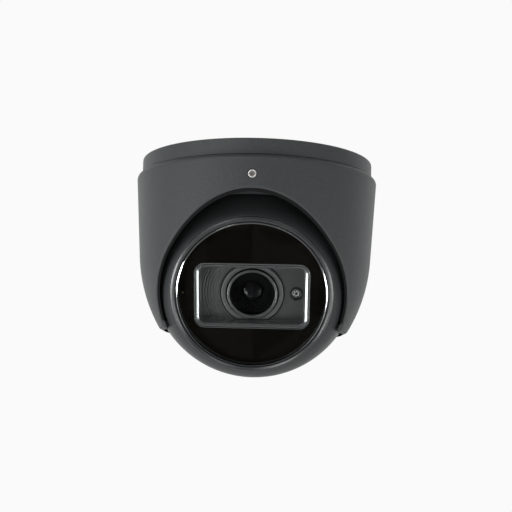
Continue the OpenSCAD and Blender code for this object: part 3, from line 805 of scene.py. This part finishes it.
def make_second_lens():
    """The next lens, domed, in the middle of the baffle."""
    apex, bend, reach = 25.0, 8.0, 5.2
    edge = math.degrees(math.asin(reach / bend))
    face = arc((0, apex - bend), bend, 90 - edge, 90, 24)
    face[-1] = (0, apex)
    inner = lathe("second_lens", [(0, LENS_SEAT), (reach, LENS_SEAT)] + face, LENS_MM, 128, 30)
    place(inner, "eye", INNER_LENS, "lens_glass")


# ---- light sensor, in a well of the panel ----


def make_sensor_cup():
    """The raised collar, the cup inside it and the bright twelve-sided ring in the cup."""
    top = PANEL_Z
    collar_in, collar_out = 2.6, 3.4
    collar = lathe("sensor_collar", rounded([
        (collar_in, top - 0.5, 0), (collar_out, top - 0.5, 0), (collar_out, top + 0.3, 0.2),
        (collar_out - 0.2, top + 0.5, 0.15), (collar_in + 0.2, top + 0.5, 0.15),
        (collar_in, top + 0.3, 0.1)]), SENSOR_MM, 96)
    place(collar, "eye", PLASTIC, "black_plastic")
    cup = lathe("sensor_cup", [
        (0, top - 1.6), (2.45, top - 1.6), (2.45, top + 0.3), (2.35, top + 0.3), (1.95, top),
        (1.9, top - 0.8), (0, top - 0.8)], SENSOR_MM, 64)
    place(cup, "eye", PANEL, "panel_plastic")
    ring = lathe("sensor_ring", [(1.95, top - 0.4), (2.3, top - 0.4), (2.3, top + 0.25), (1.95, top)],
                 SENSOR_MM, 12, 5)
    place(ring, "eye", STEEL, "stainless")


def make_sensor_glints():
    """Six near-white tapered hexagons in a circle under the dome: painted highlights standing in for
    the glints of the sensor's faceted dome.
    """
    circle_r, foot_r, tip_r = 1.15, 0.6, 0.4
    foot_z, tip_z = PANEL_Z - 0.85, PANEL_Z + 0.1
    verts, faces = [], []
    for turn in range(20, 380, 60):
        middle = (circle_r * math.cos(math.radians(turn)), circle_r * math.sin(math.radians(turn)))
        first = len(verts)
        for z, reach in ((foot_z, foot_r), (tip_z, tip_r)):
            verts += [(x, y, z) for x, y in arc(middle, reach, 0, 300, 5)]
        faces += [[first + k, first + (k + 1) % 6, first + 6 + (k + 1) % 6, first + 6 + k]
                  for k in range(6)]
        faces += [[first + k for k in range(6)], [first + 6 + k for k in range(6)]]
    glint_spots = make_object("sensor_glint_spots", verts, faces, SENSOR_MM, 5)
    place(glint_spots, "eye", PLATED_AND_GLINTS, "stainless")


def make_sensor_dome():
    """The sensor's clear dome, drawn as one solid around the cup and the painted highlight spots."""
    dome_r, bend, rim_turn = 2.5, 3.65, 46.5
    low, rim_z, apex, centre_z = PANEL_Z - 1.7, PANEL_Z + 0.2, PANEL_Z + 1.25, PANEL_Z - 2.4
    outline = [(0, low), (dome_r, low), (dome_r, rim_z)]
    outline += arc((0, centre_z), bend, rim_turn, 90, 12)[:-1] + [(0, apex)]
    dome = lathe("sensor_dome", outline, SENSOR_MM, 64, 30)
    place(dome, "eye", ACRYLIC, "clear_plastic", "light_sensor")


# ---- CAD nodes that keep their shape ----

KEPT = {
    "base_gasket": RUBBER, "lip_gasket": RUBBER, "housing_gasket": RUBBER, "window_gasket": RUBBER,
    "ball_retainer": COAT, "ball_rear": BALL_COAT, "retainer_screws": STEEL,
    "housing_screws": STEEL, "window_mask": MASK,
    "guide_rods": STEEL, "zoom_group": PLASTIC, "focus_group": PLASTIC,
    "zoom_drive_screw": BRASS, "focus_drive_screw": BRASS, "zoom_motor": STEEL,
    "focus_motor": STEEL, "lens_mount": PLASTIC, "ir_cut_filter": ACRYLIC,
    "filter_solenoid": BRASS, "image_sensor": CHIP, "sensor_board": BOARD,
    "sensor_screws": STEEL, "chassis_plate": ALUMINIUM, "main_board": BOARD,
    "board_pillars": BRASS, "processor": CHIP, "thermal_pad": PAD, "flex_cable": FILM,
    "led_board": BOARD, "led_screws": STEEL, "ir_leds": EMITTER, "ir_lenses": ACRYLIC,
    "indicator_led": EMITTER, "cable_gland": PLASTIC, "gland_nut": PLASTIC,
}


def paint_kept():
    """Gives the CAD nodes that show as they are their materials and smooth shading."""
    for node, material in KEPT.items():
        paint(NODES[node], material)
        NODES[node].data.shade_smooth()
        NODES[node].data.set_sharp_from_angle(angle=math.radians(30))


# ---- studio, in metres ----

VIEW_DISTANCE = 0.6
VIEW_TURN = math.radians(2.1)
VIEW_DROP = math.radians(8.15)
VIEW_ROLL = math.radians(1.4)
FOCAL_MM = 82.8
FILM_MM = 36
TARGET = Vector((0.0005, 0, -0.0475))
LAMP_AIM = Vector((0, 0, -0.055))


def make_camera():
    """The camera at the photograph's view: a little to the right, below, and rolled."""
    camera = bpy.data.objects.new("camera", bpy.data.cameras.new("camera"))
    bpy.context.scene.collection.objects.link(camera)
    camera.data.lens = FOCAL_MM
    camera.data.sensor_width = FILM_MM
    back = Vector((math.sin(VIEW_TURN) * math.cos(VIEW_DROP),
                   -math.cos(VIEW_TURN) * math.cos(VIEW_DROP), -math.sin(VIEW_DROP)))
    right = Vector((math.cos(VIEW_TURN), math.sin(VIEW_TURN), 0))
    up = back.cross(right)
    rolled_right = right * math.cos(VIEW_ROLL) + up * math.sin(VIEW_ROLL)
    rolled_up = up * math.cos(VIEW_ROLL) - right * math.sin(VIEW_ROLL)
    turn = Matrix((rolled_right, rolled_up, back)).transposed().to_4x4()
    camera.matrix_world = Matrix.Translation(TARGET + back * VIEW_DISTANCE) @ turn
    bpy.context.scene.camera = camera


def make_softbox(name, position, size, power):
    """A rectangular area lamp turned to the object, and hidden from the camera."""
    lamp = bpy.data.objects.new(name, bpy.data.lights.new(name, "AREA"))
    lamp.data.shape = "RECTANGLE"
    lamp.data.size, lamp.data.size_y = size
    lamp.data.energy = power
    bpy.context.scene.collection.objects.link(lamp)
    lamp.location = position
    lamp.visible_camera = False
    lamp.rotation_euler = (LAMP_AIM - Vector(position)).to_track_quat("-Z", "Y").to_euler()


def make_lamps():
    strip, box = (0.16, 0.7), (0.6, 0.6)
    make_softbox("left_strip", (-0.66, -0.32, -0.42), strip, 4.0)
    make_softbox("right_strip", (0.66, -0.32, -0.42), strip, 2.2)
    make_softbox("key", (-0.55, -0.75, 0.55), box, 3.6)
    make_softbox("fill", (0.55, -0.75, 0.6), box, 1.7)


def make_floor():
    size, low = 3.0, -0.9
    mesh = bpy.data.meshes.new("floor")
    mesh.from_pydata([(-size, -size, low), (size, -size, low), (size, size, low),
                      (-size, size, low)], [], [[0, 1, 2, 3]])
    floor = bpy.data.objects.new("floor", mesh)
    bpy.context.scene.collection.objects.link(floor)
    paint(floor, grained("pale_floor", (0.75, 0.75, 0.75), 0.01, 0.7, 40, 0.00002))


def make_world():
    """A plain pale background, with dimmer light on the object that comes mostly from behind."""
    backdrop = 0.955
    dimmest, brightest, turns_from, turns_to = 0.1, 0.9, 0.1, 0.6
    world = bpy.data.worlds.new("studio")
    bpy.context.scene.world = world
    world.use_nodes = True
    tree = world.node_tree
    tree.nodes.clear()
    out = tree.nodes.new("ShaderNodeOutputWorld")
    seen = add_node(tree, "ShaderNodeBackground", Color=(backdrop, backdrop, backdrop, 1), Strength=1.0)
    lit = add_node(tree, "ShaderNodeBackground", Color=(1, 1, 1, 1))
    split = tree.nodes.new("ShaderNodeSeparateXYZ")
    tree.links.new(tree.nodes.new("ShaderNodeTexCoord").outputs["Generated"], split.inputs[0])
    strength = ramp(tree, split.outputs["Y"], dimmest, brightest, turns_from, turns_to)
    tree.links.new(strength, lit.inputs["Strength"])
    mix = tree.nodes.new("ShaderNodeMixShader")
    path = tree.nodes.new("ShaderNodeLightPath")
    tree.links.new(path.outputs["Is Camera Ray"], mix.inputs["Fac"])
    tree.links.new(lit.outputs["Background"], mix.inputs[1])
    tree.links.new(seen.outputs["Background"], mix.inputs[2])
    tree.links.new(mix.outputs["Shader"], out.inputs["Surface"])
    bpy.context.scene.view_settings.view_transform = "Standard"


make_camera()
make_base()
make_cover()
make_opening_shade()
make_lock_screw()
make_ball()
make_stop_ring()
make_bezel()
make_glass()
make_shroud()
make_panel()
make_trim_ring()
make_barrel()
make_nose_ring()
make_barrel_plate()
make_front_element()
make_baffle()
make_second_lens()
make_sensor_cup()
make_sensor_glints()
make_sensor_dome()
paint_kept()
make_floor()
make_lamps()
make_world()
